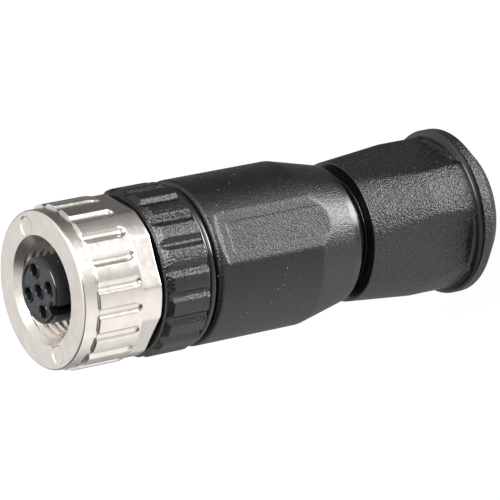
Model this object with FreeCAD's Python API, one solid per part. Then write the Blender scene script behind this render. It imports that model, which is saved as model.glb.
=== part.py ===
"""Straight five-pole M12 socket connector that is wired on site.

A metal coupling nut turns on the neck of the front body. The front body holds the
contact insert, the terminal block and five sockets with screw clamps. A sleeve screws
on to it from behind over a sealing ring, and the pressing nut at the rear drives a
clamping cage and a gland seal on to the cable.

Millimetres. The connector stands on its rear end: Z is the axis, the origin is the
centre of the pressing nut's rear face, and the mating face is up. X points to the
first contact, and angles turn from X towards Y.
"""
import FreeCAD, Part
import math
import os

# Stack along the axis, from the rear face upwards
head_length = 18.9
tightening_gap = 1.8
sleeve_length = 21.5
ring_gap = 1.35
ring_length = 6.05
nut_end_play = 0.35
nut_length = 10.65
insert_proud = 0.5

# Clearances
turning_clearance = 0.08
thread_clearance = 0.05
seat_clearance = 0.05
contact_clearance = 0.04
open_clearance = 0.25

# Mating face
insert_radius = 4.0
contact_circle_radius = 2.5
pin_hole_radius = 0.7
pin_hole_depth = 0.9
keyway_angle = -45.0
keyway_width = 1.2
keyway_depth = 0.8
keyway_length = 6.0
insert_flange_thickness = 1.4
m12_minor_radius = 5.46

# Contacts and terminals
socket_radius = 0.95
socket_bore_radius = 0.52
socket_bore_depth = 6.5
socket_slot_width = 0.25
socket_slot_length = 4.5
link_thickness = 0.8
link_width = 1.5
stem_width = 1.5
terminal_circle_radius = 4.3
terminal_first_angle = -45.0
clamp_width = 2.9
clamp_length = 5.0
wire_bore_radius = 0.75
wire_bore_depth = 4.4
clamp_screw_radius = 1.0
clamp_screw_from_rear = 2.8
clamp_screw_recess = 0.1
clamp_screw_slot_width = 0.3
clamp_screw_slot_depth = 0.5
block_wall = 1.1
block_rear_wall = 0.4
block_web_gap = 0.8
wire_entry_radius = 1.15

# Front body, in steps outwards from the terminal block and the insert
block_play = 0.2
spigot_wall = 1.15
spigot_length = 3.1
ring_proud = 0.1
ring_lip_step = 0.55
ring_lip_length = 0.3
ring_chamfer_length = 0.8
ring_front_wall = 1.2
flute_count = 20
flute_width = 1.6
flute_floor_width = 0.3
flute_depth = 0.42
flute_turned = 11.8
neck_wall = 0.85
neck_length = 4.5

# Snap ring that holds the coupling nut on the neck
snap_ring_thickness = 0.6
snap_ring_play = 0.16
snap_ring_gap = 1.4
snap_groove_depth = 0.32

# Coupling nut
nut_mouth_depth = 1.14
grip_radius = 9.95
grip_length = 5.9
grip_groove_count = 20
grip_groove_width = 1.3
grip_groove_depth = 0.35
grip_groove_end_wall = 0.2
grip_first_groove = 6.5
nut_collar_step = 0.4
nut_collar_length = 2.0
nut_collar_chamfer = 0.3
hexagon_flat_step = 0.7
hexagon_corner_step = 0.2
nut_shoulder_thickness = 2.9
face_disc_radius = 1.25
face_disc_inset = 1.8
face_disc_depth = 0.12
nut_turned = 3.5

# Sealing ring between the front body and the sleeve
oring_section_radius = 0.6
oring_sides = 6
oring_inset = 0.16
oring_seat_length = 1.75

# Sleeve
sleeve_thread_wall = 1.85
sleeve_thread_length = 3.2
sleeve_bore_step = 0.35
sleeve_lip_length = 0.8
sleeve_lip_depth = 0.45
sleeve_cone_length = 6.6
sleeve_rear_wall = 1.5
sleeve_flat_depth = 0.48
sleeve_flat_from_front = 1.5
sleeve_turned = 8.6
panel_inset = 1.1
panel_depth = 0.12
panel_length = 12.8
web_thickness = 1.0
web_opening_step = 0.2

# Cable entry, gland seal and clamping cage
cable_bore_radius = 4.4
gland_depth = 2.65
seal_length = 5.0
seal_squeeze = 0.5
seal_free_gap = 1.75
cage_flange_thickness = 0.9
cage_finger_length = 4.1
cage_finger_root = 0.7
cage_finger_tip_wall = 0.95
cage_slot_count = 8
cage_slot_width = 0.9

# Pressing nut
neck_reach = 5.6
neck_mouth_wall = 0.65
head_front_step = 0.1
head_front_chamfer = 0.5
head_flare_length = 9.0
head_flare_step = 0.75
head_flat_front_step = 0.4
head_flat_rear_step = 0.95
head_turned = 13.0
flange_proud = 0.15
flange_land = 1.2
flange_blend = 1.1
flange_rear_chamfer_length = 2.3
flange_rear_chamfer_depth = 2.35
cable_mouth_chamfer = 1.2

# Radii worked out from the inside outwards
block_radius = terminal_circle_radius + clamp_width / 2 + block_wall
cavity_radius = block_radius + block_play
spigot_radius = cavity_radius + spigot_wall
sleeve_radius = spigot_radius + thread_clearance + sleeve_thread_wall
sleeve_bore_radius = spigot_radius + thread_clearance - sleeve_bore_step
ring_radius = sleeve_radius + ring_proud
oring_centre_radius = sleeve_radius - oring_inset - oring_section_radius
oring_seat_radius = oring_centre_radius - oring_section_radius - contact_clearance
neck_radius = insert_radius + seat_clearance + neck_wall
snap_ring_radius = m12_minor_radius - snap_ring_play
nut_mouth_radius = m12_minor_radius + nut_mouth_depth
nut_collar_radius = grip_radius - nut_collar_step
gland_bore_radius = cable_bore_radius + gland_depth
sleeve_rear_radius = gland_bore_radius + sleeve_rear_wall
seal_cable_radius = cable_bore_radius - seal_squeeze
pressing_neck_radius = gland_bore_radius - thread_clearance
pressing_mouth_radius = pressing_neck_radius - neck_mouth_wall
cage_finger_root_radius = pressing_mouth_radius - open_clearance
cage_finger_tip_radius = cable_bore_radius + cage_finger_tip_wall
head_front_radius = sleeve_rear_radius + head_front_step
flange_radius = sleeve_radius + flange_proud
head_flare_radius = flange_radius - head_flare_step
head_flat_front = head_front_radius - head_flat_front_step
head_flat_rear = head_flare_radius - head_flat_rear_step

# Heights worked out from the stack
z_head_front = head_length
z_neck_mouth = z_head_front + neck_reach
z_cage_flange_rear = z_neck_mouth + seat_clearance
z_cage_end = z_cage_flange_rear - cage_finger_length
z_cage_front = z_cage_flange_rear + cage_flange_thickness
z_seal_rear = z_cage_front + seal_free_gap
z_web_rear = z_seal_rear + seal_length
z_web_front = z_web_rear + web_thickness
z_block_end = z_web_front + block_web_gap
z_clamp_end = z_block_end + block_rear_wall
z_clamp_screw = z_clamp_end + clamp_screw_from_rear
z_sleeve_rear = z_head_front + tightening_gap
z_sleeve_front = z_sleeve_rear + sleeve_length
z_ring_rear = z_sleeve_front + ring_gap
z_ring_front = z_ring_rear + ring_length
z_neck_front = z_ring_front + neck_length
z_nut_rear = z_ring_front + nut_end_play
z_nut_shoulder = z_nut_rear + nut_shoulder_thickness
z_nut_front = z_nut_rear + nut_length
z_snap_low = z_nut_shoulder + turning_clearance
z_snap_high = z_snap_low + snap_ring_thickness
z_insert_front = z_nut_front + insert_proud
z_socket_front = z_insert_front - pin_hole_depth - contact_clearance
z_seat_end = z_ring_rear - oring_seat_length
z_spigot_end = z_seat_end - spigot_length
z_insert_seat = z_ring_front - ring_front_wall
z_split = z_insert_seat - insert_flange_thickness

UP = FreeCAD.Vector(0, 0, 1)
ORIGIN = FreeCAD.Vector(0, 0, 0)


def polar(radius, degrees, z=0.0):
    """Point at a radius and an angle about the axis."""
    angle = math.radians(degrees)
    return FreeCAD.Vector(radius * math.cos(angle), radius * math.sin(angle), z)


def disc(radius, z_low, z_high, centre=ORIGIN):
    """Upright cylinder between two heights."""
    base = FreeCAD.Vector(centre.x, centre.y, z_low)
    return Part.makeCylinder(radius, z_high - z_low, base, UP)


def revolved(points):
    """Solid turned about the axis from an outline of (radius, height) points."""
    corners = [FreeCAD.Vector(radius, 0, z) for radius, z in points]
    outline = Part.makePolygon(corners + corners[:1])
    return Part.Face(outline).revolve(ORIGIN, UP, 360)


def upright_prism(corners, z_low, z_high):
    """Prism between two heights over a plan of (x, y) corners."""
    plan = [FreeCAD.Vector(x, y, z_low) for x, y in corners]
    return Part.Face(Part.makePolygon(plan + plan[:1])).extrude(UP * (z_high - z_low))


def square_bar(width, z_low, z_high, distance, degrees):
    """Upright square bar at a distance from the axis, one side facing outwards."""
    half = width / 2
    near, far = distance - half, distance + half
    bar = upright_prism([(near, -half), (far, -half), (far, half), (near, half)], z_low, z_high)
    return turned(bar, degrees)


def regular_prism(sides, across_flats, z_low, z_high):
    """Upright prism with a regular plan and a corner on X."""
    corner = across_flats / 2 / math.cos(math.pi / sides)
    corners = [polar(corner, 360 * i / sides) for i in range(sides)]
    return upright_prism([(p.x, p.y) for p in corners], z_low, z_high)


def turned(shape, degrees):
    """Copy of a shape turned about the axis."""
    copy = shape.copy()
    copy.rotate(ORIGIN, UP, degrees)
    return copy


def around(shape, count, first=0.0):
    """Compound of copies spaced evenly about the axis."""
    return Part.makeCompound([turned(shape, first + 360 * i / count) for i in range(count)])


def one_solid(shape):
    """The single solid of a finished shape."""
    return shape.removeSplitter().Solids[0]


def coupling_nut():
    """Grip ring with run-out grooves, a rear hexagon and a female M12 thread."""
    z_grip_front = z_nut_front - nut_collar_length
    z_grip_rear = z_grip_front - grip_length
    bore = neck_radius + turning_clearance
    collar = revolved([
        (0, z_grip_rear),
        (nut_collar_radius, z_grip_rear),
        (nut_collar_radius, z_nut_front - nut_collar_chamfer),
        (nut_collar_radius - nut_collar_chamfer, z_nut_front),
        (0, z_nut_front),
    ])
    across_flats = 2 * (grip_radius - hexagon_flat_step)
    hexagon = turned(regular_prism(6, across_flats, z_nut_rear, z_grip_rear), 30)
    rear = disc(grip_radius - hexagon_corner_step, z_nut_rear, z_grip_rear).common(hexagon)

    # The groove's round section passes through its floor and both of its edges
    half_width = grip_groove_width / 2
    section = (half_width ** 2 + grip_groove_depth ** 2) / (2 * grip_groove_depth)
    middle = grip_radius - grip_groove_depth + section
    z_low = z_grip_rear + grip_groove_end_wall
    groove = disc(section, z_low, z_nut_front, polar(middle, 0))
    # A ramp as long as half the width ends the groove in a round outline
    rise = half_width / grip_groove_depth
    foot = z_low + half_width + rise
    floor = grip_radius - grip_groove_depth - 1
    ramp = Part.Face(Part.makePolygon([
        FreeCAD.Vector(floor, 0, foot),
        FreeCAD.Vector(floor, 0, z_low - rise),
        FreeCAD.Vector(floor + (foot - z_low + rise) / rise, 0, z_low - rise),
        FreeCAD.Vector(floor, 0, foot),
    ])).extrude(FreeCAD.Vector(0, 4 * half_width, 0))
    ramp.translate(FreeCAD.Vector(0, -2 * half_width, 0))
    groove = groove.cut(ramp)
    grip = disc(grip_radius, z_grip_rear, z_grip_front)
    grip = grip.cut(around(groove, grip_groove_count, grip_first_groove))

    inside = revolved([
        (0, z_nut_rear),
        (bore, z_nut_rear),
        (bore, z_nut_shoulder),
        (m12_minor_radius, z_nut_shoulder),
        (m12_minor_radius, z_nut_front - nut_mouth_depth),
        (nut_mouth_radius, z_nut_front),
        (0, z_nut_front),
    ])
    nut = collar.fuse([grip, rear]).cut(inside)
    for angle in (90, 270):
        place = polar(nut_collar_radius - face_disc_inset, angle)
        nut = nut.cut(disc(face_disc_radius, z_nut_front - face_disc_depth, z_nut_front, place))
    return one_solid(turned(nut, nut_turned))


def nut_snap_ring():
    """Open ring in the neck's groove, in front of the coupling nut's shoulder."""
    inner = neck_radius - snap_groove_depth + contact_clearance
    ring = disc(snap_ring_radius, z_snap_low, z_snap_high).cut(disc(inner, z_snap_low, z_snap_high))
    reach = snap_ring_radius + 1
    half_gap = snap_ring_gap / 2
    opening = upright_prism(
        [(0, -half_gap), (-reach, -half_gap), (-reach, half_gap), (0, half_gap)],
        z_snap_low, z_snap_high)
    return one_solid(ring.cut(opening))


def front_body():
    """Neck, fluted ring, sealing seat and threaded spigot in one moulding."""
    z_lip = z_ring_front - ring_lip_length
    z_lands = z_lip - ring_chamfer_length
    lip_radius = ring_radius - ring_lip_step
    bore = insert_radius + seat_clearance
    groove_floor = neck_radius - snap_groove_depth
    body = revolved([
        (cavity_radius, z_spigot_end),
        (spigot_radius, z_spigot_end),
        (spigot_radius, z_seat_end),
        (oring_seat_radius, z_seat_end),
        (oring_seat_radius, z_ring_rear),
        (ring_radius, z_ring_rear),
        (ring_radius, z_lands),
        (lip_radius, z_lip),
        (lip_radius, z_ring_front),
        (neck_radius, z_ring_front),
        (neck_radius, z_snap_low - contact_clearance),
        (groove_floor, z_snap_low - contact_clearance),
        (groove_floor, z_snap_high + contact_clearance),
        (neck_radius, z_snap_high + contact_clearance),
        (neck_radius, z_neck_front),
        (bore, z_neck_front),
        (bore, z_insert_seat),
        (cavity_radius, z_insert_seat),
    ])
    # The flute is a flat-floored vee, cut past both ends of the lands
    floor = ring_radius - flute_depth
    slope = (flute_width - flute_floor_width) / 2 / flute_depth
    reach = ring_radius + flute_depth
    wide = flute_floor_width / 2 + slope * (reach - floor)
    narrow = flute_floor_width / 2
    flute = upright_prism(
        [(floor, -narrow), (reach, -wide), (reach, wide), (floor, narrow)],
        z_ring_rear, z_ring_front)
    return one_solid(body.cut(around(flute, flute_count, flute_turned)))


def body_oring():
    """Sealing ring on its seat between the fluted ring and the sleeve."""
    z_centre = z_ring_rear - oring_section_radius
    section = []
    for step in range(oring_sides):
        angle = math.radians(360 * (step + 0.5) / oring_sides)
        section.append((
            oring_centre_radius + oring_section_radius * math.cos(angle),
            z_centre + oring_section_radius * math.sin(angle)))
    return one_solid(revolved(section))


def pole_places():
    """Contact angle, contact radius and terminal angle of each pole."""
    poles = []
    for step in range(4):
        poles.append((90 * step, contact_circle_radius, terminal_first_angle + 72 * (step + 1)))
    return poles + [(0, 0.0, terminal_first_angle)]


def contact_envelope(pole, extra):
    """Outside of one contact: socket, link, stem and clamp, grown by a clearance."""
    angle, radius, terminal_angle = pole
    front = polar(radius, angle)
    rear = polar(terminal_circle_radius, terminal_angle)
    socket = disc(socket_radius + extra, z_split, z_socket_front + extra, front)
    link_length = math.hypot(rear.x - front.x, rear.y - front.y)
    heading = math.degrees(math.atan2(rear.y - front.y, rear.x - front.x))
    half = link_width / 2 + extra
    link = upright_prism(
        [(-half, -half), (link_length + half, -half), (link_length + half, half), (-half, half)],
        z_split, z_split + link_thickness + extra)
    link = turned(link, heading)
    link.translate(front)
    place = (terminal_circle_radius, terminal_angle)
    stem = square_bar(stem_width + 2 * extra, z_clamp_end, z_split, *place)
    clamp = square_bar(clamp_width + 2 * extra, z_clamp_end, z_clamp_end + clamp_length, *place)
    return socket.fuse([link, stem, clamp])


def contact_socket(pole):
    """Slotted socket, link and wire clamp of one pole, in one piece."""
    angle, radius, terminal_angle = pole
    front = polar(radius, angle)
    rear = polar(terminal_circle_radius, terminal_angle)
    pin_bore = disc(socket_bore_radius, z_socket_front - socket_bore_depth, z_socket_front, front)
    wire_bore = disc(wire_bore_radius, z_clamp_end, z_clamp_end + wire_bore_depth, rear)
    half_slot = socket_slot_width / 2
    reach = socket_radius + contact_clearance
    slot = upright_prism(
        [(-reach, -half_slot), (reach, -half_slot), (reach, half_slot), (-reach, half_slot)],
        z_socket_front - socket_slot_length, z_socket_front)
    slot = turned(slot, angle)
    slot.translate(front)
    screw_start = FreeCAD.Vector(rear.x, rear.y, z_clamp_screw)
    tapped = Part.makeCylinder(
        clamp_screw_radius + contact_clearance, clamp_width, screw_start,
        polar(1, terminal_angle))
    return one_solid(contact_envelope(pole, 0.0).cut([pin_bore, wire_bore, slot, tapped]))


def clamp_screw(pole):
    """Headless slotted screw that presses the wire in one clamp."""
    terminal_angle = pole[2]
    tip = terminal_circle_radius + wire_bore_radius
    head = block_radius - clamp_screw_recess
    start = polar(tip, terminal_angle, z_clamp_screw)
    screw = Part.makeCylinder(clamp_screw_radius, head - tip, start, polar(1, terminal_angle))
    slot = Part.makeBox(clamp_screw_slot_depth, clamp_screw_slot_width, clamp_screw_radius * 4)
    slot.translate(FreeCAD.Vector(
        head - clamp_screw_slot_depth, -clamp_screw_slot_width / 2,
        z_clamp_screw - clamp_screw_radius * 2))
    return one_solid(screw.cut(turned(slot, terminal_angle)))


def contact_insert(poles):
    """Front insulator with the pin holes, the keyway and a flange behind."""
    barrel = disc(insert_radius, z_insert_seat, z_insert_front)
    insert = barrel.fuse(disc(cavity_radius - seat_clearance, z_split, z_insert_seat))
    half_key = keyway_width / 2
    floor = insert_radius - keyway_depth
    reach = insert_radius + keyway_depth
    keyway = upright_prism(
        [(floor, -half_key), (reach, -half_key), (reach, half_key), (floor, half_key)],
        z_insert_front - keyway_length, z_insert_front)
    cuts = [turned(keyway, keyway_angle)]
    for pole in poles:
        cuts.append(contact_envelope(pole, contact_clearance))
        cuts.append(disc(pin_hole_radius, z_socket_front, z_insert_front, polar(pole[1], pole[0])))
    return one_solid(insert.cut(cuts))


def terminal_block(poles):
    """Rear insulator round the clamps, with screw holes and wire entries."""
    cuts = []
    for pole in poles:
        terminal_angle = pole[2]
        rear = polar(terminal_circle_radius, terminal_angle)
        width = clamp_width + 2 * contact_clearance
        cuts.append(square_bar(width, z_clamp_end, z_split, terminal_circle_radius, terminal_angle))
        cuts.append(disc(wire_entry_radius, z_block_end, z_clamp_end, rear))
        start = FreeCAD.Vector(rear.x, rear.y, z_clamp_screw)
        screw_hole = clamp_screw_radius + thread_clearance * 2
        cuts.append(Part.makeCylinder(screw_hole, block_radius, start, polar(1, terminal_angle)))
    return one_solid(disc(block_radius, z_block_end, z_split).cut(cuts))


def sleeve():
    """Housing sleeve with two wrench flats, a rear cone and a web for the seal."""
    thread_radius = spigot_radius + thread_clearance
    seat_bore = oring_seat_radius + thread_clearance
    web_opening = cable_bore_radius + web_opening_step
    z_cone = z_sleeve_rear + sleeve_cone_length
    z_thread_rear = z_seat_end - sleeve_thread_length
    z_thread_front = z_seat_end - open_clearance
    shell = revolved([
        (gland_bore_radius, z_sleeve_rear),
        (sleeve_rear_radius, z_sleeve_rear),
        (sleeve_radius, z_cone),
        (sleeve_radius, z_sleeve_front - sleeve_lip_length),
        (sleeve_radius - sleeve_lip_depth, z_sleeve_front),
        (seat_bore, z_sleeve_front),
        (seat_bore, z_thread_front),
        (thread_radius, z_thread_front),
        (thread_radius, z_thread_rear),
        (sleeve_bore_radius, z_thread_rear),
        (sleeve_bore_radius, z_web_front),
        (web_opening, z_web_front),
        (web_opening, z_web_rear),
        (gland_bore_radius, z_web_rear),
    ])
    half_flat = sleeve_radius - sleeve_flat_depth
    z_flat_front = z_sleeve_front - sleeve_flat_from_front
    reach = sleeve_radius + 1
    flat = upright_prism(
        [(half_flat, -reach), (reach, -reach), (reach, reach), (half_flat, reach)],
        z_sleeve_rear, z_flat_front)
    flat_half_width = math.sqrt(sleeve_radius ** 2 - half_flat ** 2)
    side = flat_half_width - panel_inset
    floor = half_flat - panel_depth
    z_panel_front = z_flat_front - panel_inset
    panel = upright_prism(
        [(floor, -side), (reach, -side), (reach, side), (floor, side)],
        z_panel_front - panel_length, z_panel_front)
    return one_solid(turned(shell.cut([flat, turned(flat, 180), panel]), sleeve_turned))


def gland_seal():
    """Elastomer bush that closes on the cable, seated on the sleeve's web."""
    outer = gland_bore_radius - contact_clearance * 2
    bush = disc(outer, z_seal_rear, z_web_rear)
    return one_solid(bush.cut(disc(seal_cable_radius, z_seal_rear, z_web_rear)))


def clamp_cage():
    """Flanged ring with slotted fingers that the pressing nut closes."""
    flange = disc(gland_bore_radius - open_clearance, z_cage_flange_rear, z_cage_front)
    # The fingers' outer faces are flat, so together they taper as a pyramid
    half_turn = 180 / cage_slot_count
    rings = []
    for radius, z in ((cage_finger_tip_radius, z_cage_end), (cage_finger_root_radius, z_cage_flange_rear)):
        corners = [polar(radius, 2 * half_turn * i, z) for i in range(cage_slot_count)]
        rings.append(Part.makePolygon(corners + corners[:1]))
    fingers = Part.makeLoft(rings, True, True)
    cage = flange.fuse(fingers).cut(disc(cable_bore_radius, z_cage_end, z_cage_front))
    half_slot = cage_slot_width / 2
    reach = gland_bore_radius
    slot = upright_prism(
        [(0, -half_slot), (reach, -half_slot), (reach, half_slot), (0, half_slot)],
        z_cage_end, z_cage_flange_rear - cage_finger_root)
    return one_solid(cage.cut(around(slot, cage_slot_count)))


def pressing_nut():
    """Flaring head with four tapered flats, a round rear flange and a threaded neck."""
    z_flange_front = flange_rear_chamfer_length + flange_land
    head = revolved([
        (0, z_flange_front),
        (head_flare_radius, z_flange_front),
        (head_flare_radius, z_head_front - head_flare_length),
        (head_front_radius, z_head_front - head_front_chamfer),
        (head_front_radius - head_front_chamfer, z_head_front),
        (0, z_head_front),
    ])
    squares = []
    for half, z in ((head_flat_rear, z_flange_front), (head_flat_front, z_head_front)):
        corners = [polar(half * math.sqrt(2), 90 * side, z) for side in range(4)]
        squares.append(Part.makePolygon(corners + corners[:1]))
    flats = Part.makeLoft(squares, True, True)
    flange = revolved([
        (0, 0),
        (flange_radius - flange_rear_chamfer_depth, 0),
        (flange_radius, flange_rear_chamfer_length),
        (flange_radius, z_flange_front),
        (flange_radius - flange_blend, z_flange_front + flange_blend),
        (0, z_flange_front + flange_blend),
    ])
    neck = disc(pressing_neck_radius, z_head_front, z_neck_mouth)
    z_cone_rear = z_cage_end - open_clearance
    taper = (cage_finger_root_radius - cage_finger_tip_radius) / cage_finger_length
    cone_rear_radius = pressing_mouth_radius - taper * (z_neck_mouth - z_cone_rear)
    inside = revolved([
        (0, 0),
        (cable_bore_radius + cable_mouth_chamfer, 0),
        (cable_bore_radius, cable_mouth_chamfer),
        (cable_bore_radius, z_cone_rear),
        (cone_rear_radius, z_cone_rear),
        (pressing_mouth_radius, z_neck_mouth),
        (0, z_neck_mouth),
    ])
    nut = head.common(flats).fuse([flange, neck]).cut(inside)
    return one_solid(turned(nut, head_turned))


def build():
    """Every sub-part by its node name."""
    poles = pole_places()
    parts = {
        "coupling_nut": coupling_nut(),
        "nut_snap_ring": nut_snap_ring(),
        "front_body": front_body(),
        "body_oring": body_oring(),
        "contact_insert": contact_insert(poles),
        "terminal_block": terminal_block(poles),
        "sleeve": sleeve(),
        "gland_seal": gland_seal(),
        "clamp_cage": clamp_cage(),
        "pressing_nut": pressing_nut(),
    }
    for number, pole in enumerate(poles, start=1):
        parts["contact_socket_%d" % number] = contact_socket(pole)
        parts["clamp_screw_%d" % number] = clamp_screw(pole)
    return parts


os.makedirs("parts", exist_ok=True)
for node, shape in build().items():
    box = shape.BoundBox
    print("%-18s z %6.2f to %6.2f  volume %8.2f" % (node, box.ZMin, box.ZMax, shape.Volume))
    shape.exportStep("parts/%s.step" % node)
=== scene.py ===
"""Looks of the M12 socket connector, in the frame of its CAD model.

The connector stands on the pressing nut's rear face, with its axis on Z and its mating
face up. The camera lies over on its side, as in the photograph, so the axis runs across
the picture. Lengths are in millimetres until a mesh or a node takes them, in metres.
Angles turn from X towards Y. Named ones are in degrees.

A turned piece is a closed grid of points: an outline of (radius, height) is carried
round the axis, and a function of angle, radius and height cuts its grooves and flats.
"""
import math

import bpy
import numpy as np
from mathutils import Matrix, Vector


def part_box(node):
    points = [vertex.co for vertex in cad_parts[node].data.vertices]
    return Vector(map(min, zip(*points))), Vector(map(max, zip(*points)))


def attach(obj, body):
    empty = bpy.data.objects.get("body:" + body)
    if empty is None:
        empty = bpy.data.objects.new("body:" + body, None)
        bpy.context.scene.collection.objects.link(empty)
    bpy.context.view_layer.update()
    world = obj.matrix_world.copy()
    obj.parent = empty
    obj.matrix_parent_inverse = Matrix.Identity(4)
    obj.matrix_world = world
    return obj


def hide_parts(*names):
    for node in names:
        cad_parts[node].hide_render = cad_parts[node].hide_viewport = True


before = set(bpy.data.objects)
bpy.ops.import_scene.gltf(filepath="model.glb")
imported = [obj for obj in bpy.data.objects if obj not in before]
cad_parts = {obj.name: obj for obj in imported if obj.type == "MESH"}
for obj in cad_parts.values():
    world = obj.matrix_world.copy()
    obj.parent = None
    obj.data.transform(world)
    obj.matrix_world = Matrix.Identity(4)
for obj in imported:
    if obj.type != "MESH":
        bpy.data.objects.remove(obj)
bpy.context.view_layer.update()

MM = 0.001


def heights(node):
    """Lowest and highest height of a CAD node, in millimetres."""
    low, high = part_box(node)
    return low[2] / MM, high[2] / MM


# Heights that the frame gives
NUT_REAR, NUT_FRONT = heights("coupling_nut")
SPIGOT_END, NECK_FRONT = heights("front_body")
SLEEVE_REAR, SLEEVE_FRONT = heights("sleeve")
NECK_MOUTH = heights("pressing_nut")[1]
INSERT_REAR, INSERT_FRONT = heights("contact_insert")

# Heights between them
GRIP_REAR = NUT_FRONT - 7.9
GRIP_FRONT = NUT_FRONT - 2.0
NUT_SHOULDER = NUT_REAR + 2.9
RING_FRONT = NUT_REAR - 0.35
RING_REAR = RING_FRONT - 6.05
SEAT_END = RING_REAR - 1.75
FLAT_FRONT = SLEEVE_FRONT - 1.5
CONE_FRONT = SLEEVE_REAR + 6.6
WEB_REAR = NECK_MOUTH + 7.7
WEB_FRONT = WEB_REAR + 1.0
HEAD_FRONT = SLEEVE_REAR - 1.8
FLARE_REAR = HEAD_FRONT - 9.0
FLANGE_REAR = 2.3
FLANGE_FRONT = FLANGE_REAR + 1.2
INSERT_SEAT = INSERT_REAR + 1.4

# Radii of the main forms
GRIP, COLLAR, NUT_CORNER, NUT_FLAT, MOUTH, THREAD = 9.95, 9.55, 9.75, 9.25, 6.6, 5.46
RING, RING_LIP, NECK, SEAT, SPIGOT, CAVITY = 10.2, 9.65, 4.9, 8.7, 8.2, 7.05
SLEEVE, SLEEVE_FLAT, SLEEVE_END = 10.1, 9.62, 8.55
FLANGE, FLARE, HEAD, PRESSING_NECK, CABLE = 10.25, 9.5, 8.65, 7.0, 4.4
INSERT, POLES = 4.0, 2.5

# Pitch of every thread
PITCH = 1.0


def rounded(corners, steps=4):
    """Closed outline of (r, z) from corners (r, z, fillet), turned counter-clockwise.

    Each corner with a fillet becomes an arc that touches both of its sides. The arc's
    centre lies on the corner's bisector at fillet / sin(half angle), and its ends at
    fillet / tan(half angle) from the corner. One more point just outside each end keeps
    the shading of the flat next to it even.
    """
    support = 0.06
    points = np.array([(r, z) for r, z, fillet in corners], float)
    fillets = [fillet for r, z, fillet in corners]
    area = np.sum(points[:, 0] * np.roll(points[:, 1], -1) - np.roll(points[:, 0], -1) * points[:, 1])
    if area < 0:
        points, fillets = points[::-1], fillets[::-1]
    outline = []
    for i, fillet in enumerate(fillets):
        corner, back, ahead = points[i], points[i - 1], points[(i + 1) % len(points)]
        if fillet <= 0:
            outline.append(corner[None, :])
            continue
        u = (back - corner) / np.linalg.norm(back - corner)
        v = (ahead - corner) / np.linalg.norm(ahead - corner)
        half = math.acos(max(-1.0, min(1.0, float(u @ v)))) / 2
        reach = fillet / math.tan(half)
        middle = corner + (u + v) / np.linalg.norm(u + v) * fillet / math.sin(half)
        start, end = corner + u * reach - middle, corner + v * reach - middle
        first = math.atan2(start[1], start[0])
        turn = (math.atan2(end[1], end[0]) - first + math.pi) % (2 * math.pi) - math.pi
        angle = first + turn * np.linspace(0, 1, steps + 1)
        arc = middle + fillet * np.stack([np.cos(angle), np.sin(angle)], 1)
        before = corner + u * (reach + support)
        after = corner + v * (reach + support)
        outline += [before[None, :], arc, after[None, :]]
    return np.concatenate(outline)


def refined(outline, step, low, high, least=0.0, most=99.0):
    """The same closed outline with points added evenly wherever two lie over step apart.

    Only stretches whose middle lies between the heights low and high and between the
    radii least and most are refined.
    """
    ahead = np.roll(outline, -1, axis=0)
    length = np.linalg.norm(ahead - outline, axis=1)
    radius, height = ((outline + ahead) / 2).T
    inside = (height > low) & (height < high) & (radius > least) & (radius < most)
    parts = np.where(inside, np.maximum(1, np.ceil(length / step)), 1).astype(int)
    start = np.repeat(np.arange(len(outline)), parts)
    place = np.arange(parts.sum()) - np.repeat(np.cumsum(parts) - parts, parts)
    share = (place / np.repeat(parts, parts))[:, None]
    return outline[start] * (1 - share) + ahead[start] * share


def put(name, points, faces, body, material, replaced, sharp=40.0, second_finish_and_painted_shade=None):
    """Mesh object from points in millimetres and a list of face arrays.

    Edges over the sharp angle stay sharp. The last argument is (second material, test of the radii and
    heights of the faces' middles): a duller finish on a wall, or a darker material as painted shade in
    gaps and hollows.
    """
    mesh = bpy.data.meshes.new(name)
    mesh.from_pydata((points * MM).tolist(), [], [face for block in faces for face in block.tolist()])
    mesh.shade_smooth()
    mesh.set_sharp_from_angle(angle=math.radians(sharp))
    mesh.materials.append(material)
    if second_finish_and_painted_shade is not None:
        second, gets_second_material = second_finish_and_painted_shade
        mesh.materials.append(second)
        middle = np.concatenate([points[block].mean(1) for block in faces])
        chosen = gets_second_material(np.hypot(middle[:, 0], middle[:, 1]), middle[:, 2])
        mesh.polygons.foreach_set("material_index", chosen.astype(np.int32))
    piece = bpy.data.objects.new(name, mesh)
    bpy.context.collection.objects.link(piece)
    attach(piece, body)
    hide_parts(*replaced)


def turned(name, outline, columns, body, material, replaced, shape=None, second_finish_and_painted_shade=None):
    """Body turned about Z: the outline (r, z) is carried round the axis in even steps.

    shape(angle, r, z) may move r and z for each angle, for grooves, flats and threads.
    The grid of points closes both ways, and its quads face outwards.
    """
    angle = np.linspace(0, 2 * math.pi, columns, endpoint=False)[:, None]
    rows = len(outline)
    r = np.broadcast_to(outline[None, :, 0], (columns, rows))
    z = np.broadcast_to(outline[None, :, 1], (columns, rows))
    if shape is not None:
        r, z = shape(angle, r, z)
    points = np.stack([r * np.cos(angle), r * np.sin(angle), z], -1).reshape(-1, 3)
    i, j = np.meshgrid(np.arange(columns), np.arange(rows), indexing="ij")
    i2, j2 = (i + 1) % columns, (j + 1) % rows
    quads = np.stack([i * rows + j, i2 * rows + j, i2 * rows + j2, i * rows + j2], -1)
    put(name, points, [quads.reshape(-1, 4)], body, material, replaced, second_finish_and_painted_shade=second_finish_and_painted_shade)


def lesser(a, b, blend):
    """The smaller of two values, with a rounded change-over of about the blend's width."""
    near = np.clip(1 - np.abs(a - b) / blend, 0, 1)
    return np.minimum(a, b) - near ** 2 * blend / 4


def greater(a, b, blend):
    """The larger of two values, with a rounded change-over of about the blend's width."""
    return -lesser(-a, -b, blend)


def between(value, low, high):
    """0 below low, 1 above high, and a smooth S from one to the other between them."""
    share = np.clip((value - low) / (high - low), 0, 1)
    return share * share * (3 - 2 * share)


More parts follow.
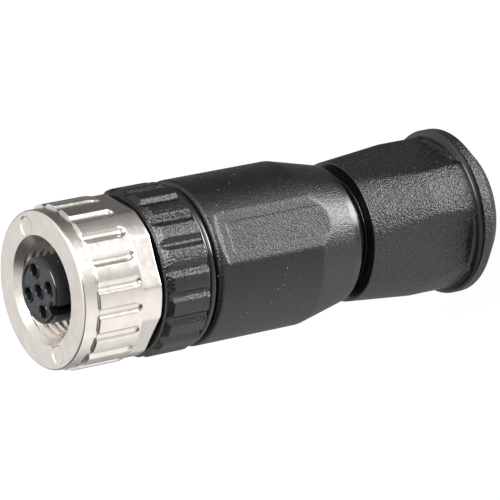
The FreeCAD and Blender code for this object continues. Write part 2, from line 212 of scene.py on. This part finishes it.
def off_centre(angle, count, first):
    """Angle from the nearest of count even places round the axis, in radians."""
    spacing = 2 * math.pi / count
    return (angle - math.radians(first) + spacing / 2) % spacing - spacing / 2


def thread_depth(angle, z, depth):
    """Depth into a right-hand thread: 0 on the crests and depth in the roots.

    The phase climbs one pitch a turn. The arc cosine of a flattened cosine is a triangle
    wave whose tips are round, which gives straight flanks and no edge for light to tear.
    """
    phase = z / PITCH - angle / (2 * math.pi)
    flatness = 0.9
    tip = math.acos(flatness)
    wave = np.arccos(-flatness * np.cos(2 * math.pi * phase))
    return depth * (wave - tip) / (math.pi - 2 * tip)


def linear(hex_colour):
    """Linear colour with full alpha from an sRGB hex value."""
    parts = [int(hex_colour[i:i + 2], 16) / 255 for i in (1, 3, 5)]
    return tuple(c / 12.92 if c <= 0.04045 else ((c + 0.055) / 1.055) ** 2.4 for c in parts) + (1.0,)


def add(tree, kind, links=None, **settings):
    """Add a node: settings name its inputs or its properties, and links feed its inputs.

    In a setting's name an underscore stands for the space in an input's name.
    """
    node = tree.nodes.new(kind)
    for name, value in settings.items():
        socket = name.replace("_", " ")
        if socket in node.inputs:
            node.inputs[socket].default_value = value
        else:
            setattr(node, name, value)
    for name, source in (links or {}).items():
        tree.links.new(source, node.inputs[name])
    return node


def material(name, **surface):
    """New material with its Principled shader set up, and the tree to add to."""
    made = bpy.data.materials.new(name)
    made.use_nodes = True
    tree = made.node_tree
    shader = tree.nodes["Principled BSDF"]
    for key, value in surface.items():
        shader.inputs[key.replace("_", " ")].default_value = value
    return made, tree, shader


def grain(tree, shader, layers):
    """Bump of a cast or eroded surface: noises of (size, depth) in millimetres, stacked."""
    place = add(tree, "ShaderNodeTexCoord").outputs["Object"]
    below = None
    for size, depth in layers:
        noise = add(tree, "ShaderNodeTexNoise", {"Vector": place}, Scale=1 / (size * MM), Detail=2.0)
        links = {"Height": noise.outputs["Fac"]}
        if below is not None:
            links["Normal"] = below
        bump = add(tree, "ShaderNodeBump", links, Strength=1.0, Distance=depth * MM)
        below = bump.outputs["Normal"]
    tree.links.new(below, shader.inputs["Normal"])


def mottled(tree, shader, socket, low, high, size):
    """Value or hex colour that wanders from low to high over patches of size millimetres."""
    calm, busy = 0.3, 0.7
    place = add(tree, "ShaderNodeTexCoord").outputs["Object"]
    noise = add(tree, "ShaderNodeTexNoise", {"Vector": place}, Scale=1 / (size * MM), Detail=3.0)
    if isinstance(low, str):
        made = add(tree, "ShaderNodeValToRGB", {"Fac": noise.outputs["Fac"]})
        for stop, position, colour in zip(made.color_ramp.elements, (calm, busy), (low, high)):
            stop.position = position
            stop.color = linear(colour)
        result = made.outputs["Color"]
    else:
        made = add(tree, "ShaderNodeMapRange", {"Value": noise.outputs["Fac"]},
                   From_Min=calm, From_Max=busy, To_Min=low, To_Max=high)
        result = made.outputs["Result"]
    tree.links.new(result, shader.inputs[socket])


def flecks(tree, shader, cell, size, colour):
    """Sparse pale flecks: fibre ends of about size across, one to a cell, in millimetres."""
    place = add(tree, "ShaderNodeTexCoord").outputs["Object"]
    cells = add(tree, "ShaderNodeTexVoronoi", {"Vector": place}, Scale=1 / (cell * MM))
    rim = size / cell / 2
    near = add(tree, "ShaderNodeMapRange", {"Value": cells.outputs["Distance"]},
               From_Min=rim, From_Max=rim / 2)
    mixed = add(tree, "ShaderNodeMix", {"Factor": near.outputs["Result"]}, data_type="RGBA")
    ground, fleck, result = mixed.inputs[6], mixed.inputs[7], mixed.outputs[2]
    tree.links.new(shader.inputs["Base Color"].links[0].from_socket, ground)
    fleck.default_value = linear(colour)
    tree.links.new(result, shader.inputs["Base Color"])


# Nickel plate on die-cast zinc, tumbled: a warm satin with the faint ripple of the casting
nickel, tree, shader = material("satin_nickel_plate", Metallic=1.0)
mottled(tree, shader, "Base Color", "#D6CFC8", "#DFD9D3", 1.5)
mottled(tree, shader, "Roughness", 0.18, 0.24, 0.6)
grain(tree, shader, [(0.6, 0.003)])

# Glass-filled polyamide from a finely eroded mould: dull black with a fine sparkle
fine_polyamide, tree, shader = material("fine_grained_polyamide", IOR=1.48)
mottled(tree, shader, "Base Color", "#07080A", "#0B0C0E", 2.0)
flecks(tree, shader, 0.95, 0.13, "#9A9A96")
mottled(tree, shader, "Roughness", 0.20, 0.38, 0.28)
grain(tree, shader, [(0.4, 0.016), (0.2, 0.05)])

# The same polyamide from a rougher mould, on the ring: lumps with small bright glints
ribbed_polyamide, tree, shader = material("ribbed_polyamide", IOR=1.53)
mottled(tree, shader, "Base Color", "#08090A", "#0C0D0E", 2.0)
mottled(tree, shader, "Roughness", 0.12, 0.28, 0.35)
grain(tree, shader, [(0.6, 0.06), (0.22, 0.08)])

# The same polyamide from the coarsest mould: pits and lumps that catch the light
coarse_polyamide, tree, shader = material("coarse_grained_polyamide", IOR=1.53)
mottled(tree, shader, "Base Color", "#07080A", "#0B0C0E", 2.0)
flecks(tree, shader, 0.9, 0.10, "#8A8A86")
mottled(tree, shader, "Roughness", 0.16, 0.34, 0.3)
grain(tree, shader, [(0.5, 0.06), (0.23, 0.16)])

# The same polyamide with a plain skin and a darker base colour, as painted shade in the gaps, the insides
# and the hollow in front of the flange: black and even
painted_shade_polyamide, tree, shader = material("painted_shade_polyamide", IOR=1.5)
mottled(tree, shader, "Base Color", "#050505", "#080808", 2.0)
mottled(tree, shader, "Roughness", 0.20, 0.30, 0.5)
grain(tree, shader, [(0.5, 0.004)])

# Polyamide from a polished mould, on the insulators: smooth, glossy and faintly blue
insulator, tree, shader = material("glossy_insulator", IOR=1.5)
mottled(tree, shader, "Base Color", "#0A0D11", "#0F1318", 2.5)
mottled(tree, shader, "Roughness", 0.15, 0.21, 0.8)
grain(tree, shader, [(0.6, 0.012)])

# Nitrile rubber, slightly greased: deep black with tight highlights
rubber, tree, shader = material("greased_nitrile_rubber", IOR=1.52)
mottled(tree, shader, "Base Color", "#0D0D0E", "#131314", 1.5)
mottled(tree, shader, "Roughness", 0.06, 0.12, 0.7)
grain(tree, shader, [(0.5, 0.004)])

# Gold flash on turned brass: warm and bright, with faint turning marks
gold, tree, shader = material("gold_flashed_brass", Metallic=1.0)
mottled(tree, shader, "Base Color", "#D9A94C", "#E6BE6A", 0.8)
mottled(tree, shader, "Roughness", 0.2, 0.3, 0.4)
grain(tree, shader, [(0.2, 0.003)])

# Zinc-plated steel of the small screws: grey, slightly dull
zinc, tree, shader = material("zinc_plated_steel", Metallic=1.0)
mottled(tree, shader, "Base Color", "#B9BBBD", "#C9CBCC", 0.6)
mottled(tree, shader, "Roughness", 0.26, 0.36, 0.4)
grain(tree, shader, [(0.2, 0.003)])

# Spring steel of the snap ring: blank and a little darker than the plating
spring_steel, tree, shader = material("blank_spring_steel", Metallic=1.0)
mottled(tree, shader, "Base Color", "#96989A", "#A7A9AB", 0.8)
mottled(tree, shader, "Roughness", 0.25, 0.34, 0.5)
grain(tree, shader, [(0.25, 0.003)])


# Coupling nut
NUT_BORE = NECK + 0.08
GROOVES, GROOVE_FIRST = 20, 10.0
GROOVE_WIDTH, GROOVE_DEPTH, GROOVE_RUNOUT = 1.3, 0.35, 0.95
GROOVE_END = GRIP_REAR + 0.2
GROOVE_SECTION = ((GROOVE_WIDTH / 2) ** 2 + GROOVE_DEPTH ** 2) / (2 * GROOVE_DEPTH)
GROOVE_MIDDLE = GRIP - GROOVE_DEPTH + GROOVE_SECTION
HEXAGON_FIRST = 3.5
THREAD_DEPTH = 0.54
THREAD_REAR = NUT_SHOULDER + 1.1
THREAD_IN_VIEW = NUT_FRONT - 4.1
UNDERCUT = THREAD + THREAD_DEPTH
DISCS, DISC_PLACE, DISC_RADIUS, DISC_DEPTH = (93.5, 273.5), 7.75, 1.3, 0.12


def nut_shape(angle, r, z):
    """Grooves, hexagon, thread and moulding marks of the coupling nut.

    A groove is the near side of a cylinder beside the axis, whose end is a sphere. The
    hexagon is the lesser of its flats and the turned corner. The thread is cut outwards
    from the bore and fades at its run-in. Two discs are sunk in the face.
    """
    beside = off_centre(angle, GROOVES, GROOVE_FIRST)
    end = np.clip(GROOVE_END + GROOVE_RUNOUT - z, 0, None) * GROOVE_WIDTH / (2 * GROOVE_RUNOUT)
    section = np.sqrt(np.clip(GROOVE_SECTION ** 2 - end ** 2, 0, None))
    sink = section ** 2 - (GROOVE_MIDDLE * np.sin(beside)) ** 2
    wall = GROOVE_MIDDLE * np.cos(beside) - np.sqrt(np.clip(sink, 0, None))
    groove = np.where(sink > 0, wall, 99.0)
    grip = (r > COLLAR - 0.25) & (z > GRIP_REAR + 0.02) & (z < GRIP_FRONT + 0.02)
    made = np.where(grip, lesser(r, groove, 0.05), r)

    flats = NUT_FLAT / np.cos(off_centre(angle, 6, HEXAGON_FIRST))
    hexagon = lesser(flats, NUT_CORNER, 0.08) - (NUT_CORNER - r)
    rear = (r > NUT_FLAT - 0.65) & (r < NUT_CORNER + 0.01) & (z < GRIP_REAR + 0.01)
    made = np.where(rear, hexagon, made)

    run_in = between(z, THREAD_REAR + 0.05, THREAD_REAR + 0.7)
    cut = THREAD + thread_depth(angle, z, THREAD_DEPTH) * run_in
    bore = (r < UNDERCUT + 0.05) & (z > THREAD_REAR + 0.05) & (z < NUT_FRONT - 0.4)
    made = np.where(bore, np.maximum(made, cut), made)

    face = (z > NUT_FRONT - 0.001) & (r > MOUTH + 0.1) & (r < COLLAR - 0.35)
    sunk = np.zeros(z.shape)
    for place in DISCS:
        across = angle - math.radians(place)
        distance = np.hypot(r * np.cos(across) - DISC_PLACE, r * np.sin(across))
        sunk = np.where(face, sunk + DISC_DEPTH * between(DISC_RADIUS - distance, 0.0, 0.2), sunk)
    return made, z - sunk


outline = rounded([
    (NUT_BORE, NUT_REAR, 0.15), (NUT_CORNER, NUT_REAR, 0.25), (NUT_CORNER, GRIP_REAR, 0.0),
    (GRIP, GRIP_REAR, 0.08), (GRIP, GRIP_FRONT, 0.06), (COLLAR, GRIP_FRONT, 0.06),
    (COLLAR, NUT_FRONT, 0.28), (MOUTH, NUT_FRONT, 0.07), (THREAD, NUT_FRONT - 1.14, 0.0),
    (THREAD, THREAD_REAR, 0.0), (UNDERCUT, THREAD_REAR, 0.0), (UNDERCUT, NUT_SHOULDER, 0.0),
    (NUT_BORE, NUT_SHOULDER, 0.15),
])
outline = refined(outline, 0.5, THREAD_REAR + 0.05, NUT_FRONT - 1.2, most=6.4)
outline = refined(outline, 0.048, THREAD_IN_VIEW, NUT_FRONT - 0.2, most=6.4)
outline = refined(outline, 0.12, THREAD_REAR + 0.05, THREAD_IN_VIEW, most=6.4)
outline = refined(outline, 0.5, GRIP_REAR, GRIP_FRONT, least=9.0)
outline = refined(outline, 0.09, GROOVE_END - 0.2, GROOVE_END + 1.1, least=9.0)
outline = refined(outline, 0.08, NUT_FRONT - 0.001, NUT_FRONT + 0.001)
turned("coupling_nut_visual", outline, 440, "coupling_nut", nickel,
       ["coupling_nut"], nut_shape)


# Front body with the ring that is held while wiring
FLUTES, FLUTE_FIRST = 20, 11.8
FLUTE_FLOOR, FLUTE_DEPTH, FLUTE_SLOPE = 0.3, 0.42, 0.646
SPIGOT_THREAD_DEPTH = 0.35
CLIP_FLOOR = 4.58
CLIP_REAR, CLIP_FRONT = NUT_SHOULDER + 0.04, NUT_SHOULDER + 0.72
INSERT_BORE = INSERT + 0.05


def body_shape(angle, r, z):
    """Flutes of the held ring and the thread of the spigot behind it.

    A flute is a flat-floored vee: its depth falls off evenly from the floor's edge.
    """
    side = np.abs(off_centre(angle, FLUTES, FLUTE_FIRST)) * RING
    flute = RING - FLUTE_DEPTH + np.clip(side - FLUTE_FLOOR / 2, 0, None) * FLUTE_SLOPE
    ring = (r > 9.0) & (z > RING_REAR - 0.05)
    made = np.where(ring, lesser(r, flute, 0.07), r)
    thread = (r > SPIGOT - 0.1) & (z > SPIGOT_END + 0.05) & (z < SEAT_END - 0.1)
    return np.where(thread, SPIGOT - thread_depth(angle, z, SPIGOT_THREAD_DEPTH), made), z


outline = rounded([
    (CAVITY, SPIGOT_END, 0.1), (SPIGOT, SPIGOT_END, 0.15), (SPIGOT, SEAT_END, 0.0),
    (SEAT, SEAT_END, 0.1), (SEAT, RING_REAR, 0.0), (RING, RING_REAR, 0.2),
    (RING, RING_FRONT - 1.1, 0.12), (RING_LIP, RING_FRONT - 0.3, 0.1),
    (RING_LIP, RING_FRONT, 0.08), (NECK, RING_FRONT, 0.0), (NECK, CLIP_REAR, 0.0),
    (CLIP_FLOOR, CLIP_REAR, 0.0), (CLIP_FLOOR, CLIP_FRONT, 0.0), (NECK, CLIP_FRONT, 0.0),
    (NECK, NECK_FRONT, 0.15), (INSERT_BORE, NECK_FRONT, 0.0), (INSERT_BORE, INSERT_SEAT, 0.0),
    (CAVITY, INSERT_SEAT, 0.0),
])
outline = refined(outline, 0.12, SPIGOT_END + 0.1, SEAT_END - 0.1)
outline = refined(outline, 0.4, RING_REAR, RING_FRONT - 0.2)
turned("front_body_visual", outline, 720, "front", ribbed_polyamide,
       ["front_body"], body_shape)


# Sealing ring: a round section that leans on the fluted ring
SEAL_SECTION = 0.6
SEAL_MIDDLE = SEAT + SEAL_SECTION + 0.04
around = np.linspace(0, 2 * math.pi, 32, endpoint=False)
outline = np.stack([SEAL_MIDDLE + SEAL_SECTION * np.cos(around),
                    RING_REAR - SEAL_SECTION + SEAL_SECTION * np.sin(around)], 1)
turned("body_oring_visual", outline, 240, "front", rubber, ["body_oring"])


# Sleeve
SLEEVE_FIRST = 8.6
FLAT_LEAN = 0.75
PANEL_FRONT, PANEL_REAR = FLAT_FRONT - 1.1, CONE_FRONT - 1.5
PANEL_HALF_WIDTH, PANEL_CORNER, PANEL_DEPTH = 1.95, 0.45, 0.035


def sleeve_shape(angle, r, z):
    """Two wrench flats behind the lip, and the bare panel sunk in the one in front.

    A flat's plane leans outwards at its front end, so it ends in a curve. The panel is
    sunk where the rounded distance to its rim is inside, and runs out at the cone.
    """
    beside = off_centre(angle, 2, SLEEVE_FIRST)
    half = SLEEVE_FLAT + np.clip(z - FLAT_FRONT, 0, None) * FLAT_LEAN
    flat = np.where(np.abs(beside) < 0.8, half / np.cos(beside), 99.0)
    across = SLEEVE_FLAT * np.tan(np.clip(beside, -0.8, 0.8))
    along = z - (PANEL_FRONT + PANEL_REAR) / 2
    half_length = (PANEL_FRONT - PANEL_REAR) / 2
    over = np.hypot(np.clip(np.abs(across) - PANEL_HALF_WIDTH + PANEL_CORNER, 0, None),
                    np.clip(np.abs(along) - half_length + PANEL_CORNER, 0, None))
    in_front = np.cos(angle - math.radians(SLEEVE_FIRST)) > 0
    sunk = PANEL_DEPTH * between(PANEL_CORNER - over, 0.0, 0.10) * in_front
    made = lesser(r, flat - sunk, 0.08)
    return np.where((r > SLEEVE_END - 0.3) & (z < SLEEVE_FRONT - 0.3), made, r), z


def sleeve_painted_shade(r, z):
    """What lies inside the sleeve or in the gap behind it, which takes the darker material as painted
    shade.
    """
    return (z < SLEEVE_REAR + 0.3) | (r < SEAT + 0.1)


outline = rounded([
    (CAVITY, SLEEVE_REAR, 0.2), (SLEEVE_END, SLEEVE_REAR, 0.2), (SLEEVE, CONE_FRONT, 1.0),
    (SLEEVE, SLEEVE_FRONT, 0.75), (SEAT + 0.05, SLEEVE_FRONT, 0.1),
    (SEAT + 0.05, SEAT_END - 0.25, 0.0), (SPIGOT + 0.05, SEAT_END - 0.25, 0.0),
    (SPIGOT + 0.05, SEAT_END - 3.2, 0.0), (SPIGOT - 0.3, SEAT_END - 3.2, 0.0),
    (SPIGOT - 0.3, WEB_FRONT, 0.0), (CABLE + 0.2, WEB_FRONT, 0.1), (CABLE + 0.2, WEB_REAR, 0.1),
    (CAVITY, WEB_REAR, 0.0),
], steps=8)
outline = refined(outline, 0.4, SLEEVE_REAR, SLEEVE_FRONT, least=8.8)
outline = refined(outline, 0.08, FLAT_FRONT - 1.4, FLAT_FRONT + 0.75, least=9.0)
# Inside and in the gap behind its rear, the sleeve takes a darker material: painted shade.
turned("sleeve_visual", outline, 540, "sleeve", fine_polyamide,
       ["sleeve"], sleeve_shape, second_finish_and_painted_shade=(painted_shade_polyamide, sleeve_painted_shade))


# Pressing nut
HEAD_FIRST = -32.0
HEAD_FLAT_REAR, HEAD_FLAT_FRONT = 8.55, 8.25
HOLLOW = 1.1
PRESSING_THREAD_DEPTH = 0.3
CONE_DEPTH, CONE_RADIUS = 4.3, 5.36
CABLE_CHAMFER = 1.2


def pressing_shape(angle, r, z):
    """Four tapered flats in the flaring head, the hollow at the flange and the neck's thread.

    The head is the lesser of the turned flare and the flats, with a softer corner towards
    the front. Where the hollow that leads into the flange is higher, it wins.
    """
    along = (z - FLANGE_FRONT) / (HEAD_FRONT - FLANGE_FRONT)
    half = HEAD_FLAT_REAR + (HEAD_FLAT_FRONT - HEAD_FLAT_REAR) * along
    flats = half / np.cos(off_centre(angle, 4, HEAD_FIRST))
    rise = np.clip(FLANGE_FRONT + HOLLOW - z, 0, HOLLOW)
    hollow = FLANGE - np.sqrt(np.clip(HOLLOW ** 2 - rise ** 2, 0, None))
    hollow = np.where(rise > 0, hollow, 0.0)
    corner = 0.10 + 0.22 * np.clip(along, 0, 1)
    head = (r > 7.8) & (z > FLANGE_FRONT - 0.08) & (z < HEAD_FRONT - 0.05)
    made = np.where(head, greater(lesser(r, flats, corner), hollow, 0.08), r)
    neck = (r > PRESSING_NECK - 0.1) & (r < PRESSING_NECK + 0.05)
    thread = neck & (z > HEAD_FRONT + 0.1) & (z < NECK_MOUTH - 0.1)
    return np.where(thread, PRESSING_NECK - thread_depth(angle, z, PRESSING_THREAD_DEPTH), made), z


def pressing_painted_shade(r, z):
    """The neck, the inside and the hollow in front of the flange: no grain shows, and the darker material
    there is painted shade.
    """
    hollow = (z > FLANGE_FRONT) & (z < FLANGE_FRONT + 0.8)
    return (z > HEAD_FRONT - 0.1) | (r < PRESSING_NECK + 0.2) | hollow


outline = rounded([
    (CABLE + CABLE_CHAMFER, 0.0, 0.2), (FLANGE - 2.35, 0.0, 0.4), (FLANGE, FLANGE_REAR, 0.25),
    (FLANGE, FLANGE_FRONT, 0.1), (FLARE, FLANGE_FRONT + 0.02, 0.0), (FLARE, FLARE_REAR, 3.0),
    (HEAD, HEAD_FRONT, 0.18), (PRESSING_NECK, HEAD_FRONT, 0.1), (PRESSING_NECK, NECK_MOUTH, 0.15),
    (PRESSING_NECK - 0.65, NECK_MOUTH, 0.1), (CONE_RADIUS, NECK_MOUTH - CONE_DEPTH, 0.0),
    (CABLE, NECK_MOUTH - CONE_DEPTH, 0.0), (CABLE, CABLE_CHAMFER, 0.2),
])
outline = refined(outline, 0.4, FLANGE_FRONT, HEAD_FRONT - 0.1, least=7.9)
outline = refined(outline, 0.08, FLANGE_FRONT, FLANGE_FRONT + 1.3, least=7.9)
outline = refined(outline, 0.13, HEAD_FRONT + 0.1, NECK_MOUTH, least=6.6)
# The neck, the inside and the hollow in front of the flange take a darker material: painted shade.
turned("pressing_nut_visual", outline, 540, "pressing_nut",
       coarse_polyamide, ["pressing_nut"], pressing_shape, second_finish_and_painted_shade=(painted_shade_polyamide, pressing_painted_shade))


# Contact insert
EDGE = 0.45
KEYWAY_FIRST, KEYWAY_DEPTH, KEYWAY_LENGTH = -45.0, 1.0, 6.0
KEYWAY_FLOOR_HALF, KEYWAY_RIM_HALF = 8.9, 10.5
FACE_SUNK, FACE_RADIUS = 0.16, 3.2
COLLAR_SUNK, COLLAR_RADIUS = 0.07, 1.16
BEAD_HEIGHT, BEAD_MIDDLE, BEAD_HALF_WIDTH = 0.07, 0.93, 0.15
SINK_DEPTH, SINK_RADIUS = 0.07, 0.80
HOLE_DEPTH, HOLE_RADIUS = 3.0, 0.73
PIP_HEIGHT, PIP_PLACE, PIP_RADIUS = 0.06, 2.35, 0.24


def four_places(radius, first):
    """Four (x, y) places at even angles on a circle."""
    angles = [math.radians(first + 90 * k) for k in range(4)]
    return [(radius * math.cos(angle), radius * math.sin(angle)) for angle in angles]


def insert_relief(x, y):
    """Height of a place on the insert's face over the face's rim.

    The face is sunk inside its rim. A collar with a beaded edge stands round each hole,
    and each hole has a small countersink and a wall that drops straight. Four small pips
    lie between.
    """
    height = -FACE_SUNK * (1 - between(np.hypot(x, y), FACE_RADIUS, FACE_RADIUS + 0.3))
    for hole_x, hole_y in four_places(POLES, 0.0) + [(0.0, 0.0)]:
        distance = np.hypot(x - hole_x, y - hole_y)
        height = height + (-COLLAR_SUNK - height) * between(COLLAR_RADIUS - distance, 0.0, 0.2)
        off_bead = np.abs(distance - BEAD_MIDDLE)
        height = height + BEAD_HEIGHT * between(BEAD_HALF_WIDTH - off_bead, 0.0, BEAD_HALF_WIDTH)
        height = height - SINK_DEPTH * between(SINK_RADIUS - distance, 0.0, 0.08)
        height = height - HOLE_DEPTH * between(HOLE_RADIUS - distance, 0.0, 0.06)
    for pip_x, pip_y in four_places(PIP_PLACE, 45.0):
        distance = np.hypot(x - pip_x, y - pip_y)
        height = height + PIP_HEIGHT * between(PIP_RADIUS - distance, 0.0, 0.2)
    return height


def insert_surface(columns=540, rings=100):
    """Points and faces of the insert, as rows of rings from the face's middle to its back.

    A ring's radius follows the barrel's rim, which the keyway pulls inwards. The first
    rows cover the face, and the next turn over its edge on a quarter circle. Then the
    wall runs down past the keyway's end to the flange. Two fans close the ends.
    """
    angle = np.linspace(0, 2 * math.pi, columns, endpoint=False)[:, None]
    beside = np.abs(np.degrees(off_centre(angle, 1, KEYWAY_FIRST)))
    notch = KEYWAY_DEPTH * (1 - between(beside, KEYWAY_FLOOR_HALF, KEYWAY_RIM_HALF))
    inner = INSERT - EDGE - notch
    face_radius = inner * np.linspace(0, 1, rings + 1)[None, 1:]
    face_height = INSERT_FRONT + insert_relief(face_radius * np.cos(angle), face_radius * np.sin(angle))
    turn = np.linspace(0, math.pi / 2, 9)[None, 1:]
    edge_radius = inner + EDGE * np.sin(turn)
    edge_height = INSERT_FRONT - EDGE + EDGE * np.cos(turn) + 0 * angle
    depth = np.array([0.5, 1.5, 3.0, 4.5, KEYWAY_LENGTH - 0.02])[None, :]
    wall_radius = INSERT - notch + 0 * depth
    wall_height = INSERT_FRONT - depth + 0 * angle
    tail = np.array([
        (INSERT, INSERT_FRONT - KEYWAY_LENGTH), (INSERT, INSERT_SEAT),
        (CAVITY - 0.05, INSERT_SEAT), (CAVITY - 0.05, INSERT_REAR), (3.5, INSERT_REAR),
    ])
    tail_radius = tail[None, :, 0] + 0 * angle
    tail_height = tail[None, :, 1] + 0 * angle
    radius = np.concatenate([face_radius, edge_radius, wall_radius, tail_radius], 1)
    height = np.concatenate([face_height, edge_height, wall_height, tail_height], 1)
    rows = radius.shape[1]
    points = np.stack([radius * np.cos(angle), radius * np.sin(angle), height], -1).reshape(-1, 3)
    ends = np.array([[0, 0, face_height[0, 0]], [0, 0, INSERT_REAR]])
    i, j = np.meshgrid(np.arange(columns), np.arange(rows - 1), indexing="ij")
    i2 = (i + 1) % columns
    quads = np.stack([i * rows + j, i * rows + j + 1, i2 * rows + j + 1, i2 * rows + j], -1)
    first = np.arange(columns) * rows
    after = np.roll(first, -1)
    front, rear = np.full(columns, columns * rows), np.full(columns, columns * rows + 1)
    top = np.stack([first, after, front], -1)
    bottom = np.stack([after + rows - 1, first + rows - 1, rear], -1)
    return np.concatenate([points, ends]), [quads.reshape(-1, 4), top, bottom]


def insert_hidden(r, z):
    """The barrel's wall, which is as dull as the sleeve."""
    return (r > INSERT - 0.05) & (z < INSERT_FRONT - EDGE)


points, faces = insert_surface()
put("contact_insert_visual", points, faces, "front", insulator, ["contact_insert"],
    sharp=50.0, second_finish_and_painted_shade=(fine_polyamide, insert_hidden))


# The CAD nodes that are right as they are get their finish
FINISHES = {
    "terminal_block": insulator, "gland_seal": rubber, "clamp_cage": fine_polyamide,
    "nut_snap_ring": spring_steel,
}
for pole in range(1, 6):
    FINISHES["contact_socket_%d" % pole] = gold
    FINISHES["clamp_screw_%d" % pole] = zinc
for node, finish in FINISHES.items():
    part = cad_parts[node]
    part.data.materials.clear()
    part.data.materials.append(finish)


# Camera: it looks at the connector's middle from 526 mm away, through a long lens
AIM = Vector((-0.178 * MM, -0.141 * MM, 31.144 * MM))
DISTANCE = 525.7 * MM
AZIMUTH, ELEVATION, ROLL = -1.666, 32.153, -101.33
azimuth, elevation = math.radians(AZIMUTH), math.radians(ELEVATION)
level = math.cos(elevation)
back = Vector((level * math.cos(azimuth), level * math.sin(azimuth), math.sin(elevation)))
right = Vector((0, 0, 1)).cross(back).normalized()
upright = Matrix((right, back.cross(right), back)).transposed()
camera_data = bpy.data.cameras.new("camera")
camera_data.lens, camera_data.sensor_width = 313.77, 36.0
camera_data.clip_start, camera_data.clip_end = 0.01, 10.0
camera = bpy.data.objects.new("camera", camera_data)
turn = Matrix.Rotation(math.radians(ROLL), 3, "Z")
camera.matrix_world = Matrix.Translation(AIM + back * DISTANCE) @ (upright @ turn).to_4x4()
bpy.context.collection.objects.link(camera)
bpy.context.scene.camera = camera


# White table: it shows white itself, and a little of its white is the light that falls on it.
# It lies lower than the pressing nut reaches when it is screwed out all the way.
TABLE = -6.5 * MM
TABLE_HALF = 3000.0 * MM
table_white, tree, shader = material("white_table", Roughness=0.9)
shader.inputs["Base Color"].default_value = linear("#3C3C3C")
shader.inputs["Emission Color"].default_value = (1, 1, 1, 1)
shader.inputs["Emission Strength"].default_value = 0.94
mesh = bpy.data.meshes.new("table")
corners = [(-1, -1), (1, -1), (1, 1), (-1, 1)]
mesh.from_pydata([(x * TABLE_HALF, y * TABLE_HALF, TABLE) for x, y in corners], [], [(0, 1, 2, 3)])
mesh.materials.append(table_white)
table = bpy.data.objects.new("table", mesh)
bpy.context.collection.objects.link(table)
table.visible_glossy = table.visible_diffuse = False
table.visible_shadow = table.visible_transmission = False


# World: white to the eye. To the surfaces it is a studio round the axis: a white table on
# one side, a soft box on the camera's side and a dark room behind, with two bright lamps.
STOP_SCALE = 10.0
LAMP_STRENGTH = 24.0
world = bpy.data.worlds.new("studio")
bpy.context.scene.world = world
world.use_nodes = True
tree = world.node_tree
tree.nodes.clear()


def ramp(source, low, high, stops):
    """Brightness along a value from low to high, as straight stretches between the stops.

    A stop's colour ends at 1, so it holds the brightness divided by STOP_SCALE.
    """
    share = add(tree, "ShaderNodeMapRange", {"Value": source}, From_Min=low, From_Max=high)
    made = add(tree, "ShaderNodeValToRGB", {"Fac": share.outputs["Result"]})
    band = made.color_ramp.elements
    band.remove(band[-1])
    for number, (place, value) in enumerate(stops):
        position = (place - low) / (high - low)
        stop = band[0] if number == 0 else band.new(position)
        stop.position = position
        stop.color = (value / STOP_SCALE, value / STOP_SCALE, value / STOP_SCALE, 1)
    return made.outputs["Color"]


def combined(operation, first, second):
    """Result of a Math node on sockets or plain numbers."""
    node = add(tree, "ShaderNodeMath", operation=operation)
    for number, value in enumerate((first, second)):
        if isinstance(value, float):
            node.inputs[number].default_value = value
        else:
            tree.links.new(value, node.inputs[number])
    return node.outputs[0]


way = add(tree, "ShaderNodeSeparateXYZ", {"Vector": add(tree, "ShaderNodeTexCoord").outputs["Generated"]})
bearing = combined("ARCTAN2", way.outputs["Y"], way.outputs["X"])
rise = way.outputs["Z"]


def studio(stops):
    """Brightness round the axis: stops of (degrees from X towards Y, brightness)."""
    return ramp(bearing, -math.pi, math.pi, [(math.radians(place), value) for place, value in stops])


# The room as a surface sees it when it faces back down, and ahead up, past the mating face
behind = studio([
    (-180, 0.3), (-150, 0.5), (-122, 0.85), (-106, 1.25), (-88, 1.6), (-50, 1.65), (-32, 1.35),
    (-20, 1.0), (-8, 0.9), (8, 0.85), (30, 0.7), (55, 0.5), (70, 0.52), (86, 0.3), (98, 0.16),
    (130, 0.18), (150, 0.26), (180, 0.3)])
ahead = studio([
    (-180, 1.2), (-165, 1.1), (-150, 0.2), (-120, 0.12), (-68, 0.12), (-35, 0.15), (20, 0.2),
    (45, 0.3), (80, 1.3), (115, 1.25), (148, 1.2), (180, 1.2)])
top = ramp(rise, -1, 1, [(-1, 0), (0.7, 0), (0.84, 1.1), (1, 1.1)])
above = ramp(rise, -1, 1, [(-1, 0), (-0.1, 0), (0.35, 10), (1, 10)])
room = add(tree, "ShaderNodeMix", {"Factor": above, "A": behind, "B": ahead}, data_type="FLOAT")

# The lamps: one bearing, and three stretches of it that differ in height
lamp = studio([
    (-180, 0), (2, 0), (12, 7), (20, 10), (46, 10), (56, 6), (64, 1), (76, 0), (180, 0)])
reach = ramp(rise, -1, 1, [
    (-1, 8), (-0.70, 8), (-0.63, 0.1), (-0.44, 0.1), (-0.34, 3.6), (-0.18, 3.6),
    (-0.05, 0), (0.38, 0), (0.46, 10), (0.72, 10), (0.80, 0), (1, 0)])
lamps = combined("MULTIPLY", combined("MULTIPLY", lamp, reach), LAMP_STRENGTH)
soft = combined("MULTIPLY", combined("ADD", room.outputs[0], top), STOP_SCALE)
studio_light = add(tree, "ShaderNodeBackground", {"Strength": combined("ADD", soft, lamps)})
white = add(tree, "ShaderNodeBackground", Color=(1, 1, 1, 1), Strength=1.0)
eye = add(tree, "ShaderNodeLightPath").outputs["Is Camera Ray"]
picked = add(tree, "ShaderNodeMixShader", {"Fac": eye})
tree.links.new(studio_light.outputs[0], picked.inputs[1])
tree.links.new(white.outputs[0], picked.inputs[2])
add(tree, "ShaderNodeOutputWorld", {"Surface": picked.outputs[0]})

bpy.context.scene.view_settings.view_transform = "Standard"
